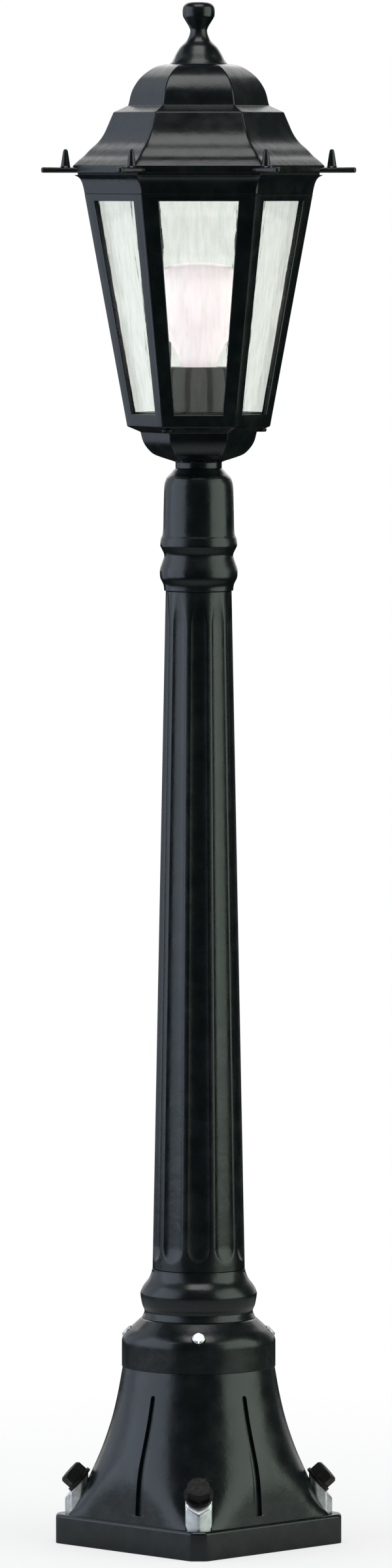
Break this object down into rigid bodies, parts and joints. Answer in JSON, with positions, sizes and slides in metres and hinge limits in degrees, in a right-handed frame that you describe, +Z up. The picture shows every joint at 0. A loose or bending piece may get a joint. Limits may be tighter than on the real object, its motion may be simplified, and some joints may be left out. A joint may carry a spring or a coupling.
{
  "type": "outdoor post light",
  "caption": "Short outdoor post light: six-sided glazed lantern with a domed roof on a tapered fluted post and a bell-shaped base with a square foot.",
  "frame": {"origin": "centre of the plinth's underside, on the ground", "axes": "+Z up along the post; -Y is the front, with a lantern pane and a base corner; +X to the right seen from the front"},
  "size_m": [0.224, 0.2044, 1.1],
  "materials": {
    "black_casting": "semi-gloss black paint on cast aluminium",
    "black_steel": "dark weathered steel",
    "zinc": "bright zinc-plated steel",
    "pane_glass": "clear rolled glass with a fine vertical ripple",
    "opal_glass": "opal white lamp glass",
    "lamp_metal": "bright rolled lamp cap",
    "lamp_insulation": "black glass insulation",
    "brass": "plain brass",
    "black_phenolic": "moulded black phenolic",
    "ceramic": "glazed white ceramic",
    "rubber": "black rubber",
    "lead_sheath": "pale grey cable sheath",
    "white_nylon": "white nylon"
  },
  "bodies": {
    "root": {"plinth": "black_casting", "bell_base": "black_casting", "base_collar": "black_casting", "post_shaft": "black_casting", "post_top": "black_casting", "lantern_base": "black_casting", "lantern_frame": "black_casting", "corner_bolts": "black_steel", "corner_washers": "black_steel", "frame_screws": "black_steel", "corner_clamps": "zinc", "locking_screws": "zinc", "tie_rod": "zinc", "tie_plate": "zinc", "rod_washers": "zinc", "rod_nuts": "zinc", "bridge_bar": "zinc", "bridge_screws": "zinc", "clip_screws": "zinc", "pane_clips": "zinc", "holder_plate": "zinc", "plate_screws": "zinc", "holder_screws": "zinc", "terminal_screws": "zinc", "glass_front": "pane_glass", "glass_front_left": "pane_glass", "glass_back_left": "pane_glass", "glass_back": "pane_glass", "glass_back_right": "pane_glass", "glass_front_right": "pane_glass", "holder_shell": "brass", "holder_contact": "brass", "earth_screw": "brass", "earth_washer": "brass", "holder_body": "black_phenolic", "holder_base": "ceramic", "roof_seal": "rubber", "cable_grommet": "rubber", "inner_lead": "lead_sheath", "terminal_block": "white_nylon"},
    "roof": {"roof": "black_casting"},
    "finial": {"finial": "black_casting", "finial_stud": "zinc", "retaining_ring": "zinc"},
    "lamp": {"lamp_cap": "lamp_metal", "lamp_insulator": "lamp_insulation", "lamp_contact": "brass", "lamp_glass": "opal_glass"}
  },
  "joints": [
    {"name": "roof_lift", "type": "slide", "parent": "root", "child": "roof", "axis": [0, 0, 1], "range_m": [0, 0.15]},
    {"name": "finial_turn", "type": "hinge", "parent": "roof", "child": "finial", "pos_m": [0, 0, 1.056], "axis": [0, 0, 1], "continuous": true},
    {"name": "lamp_lift", "type": "slide", "parent": "root", "child": "lamp", "axis": [0, 0, 1], "range_m": [0, 0.03]}
  ]
}
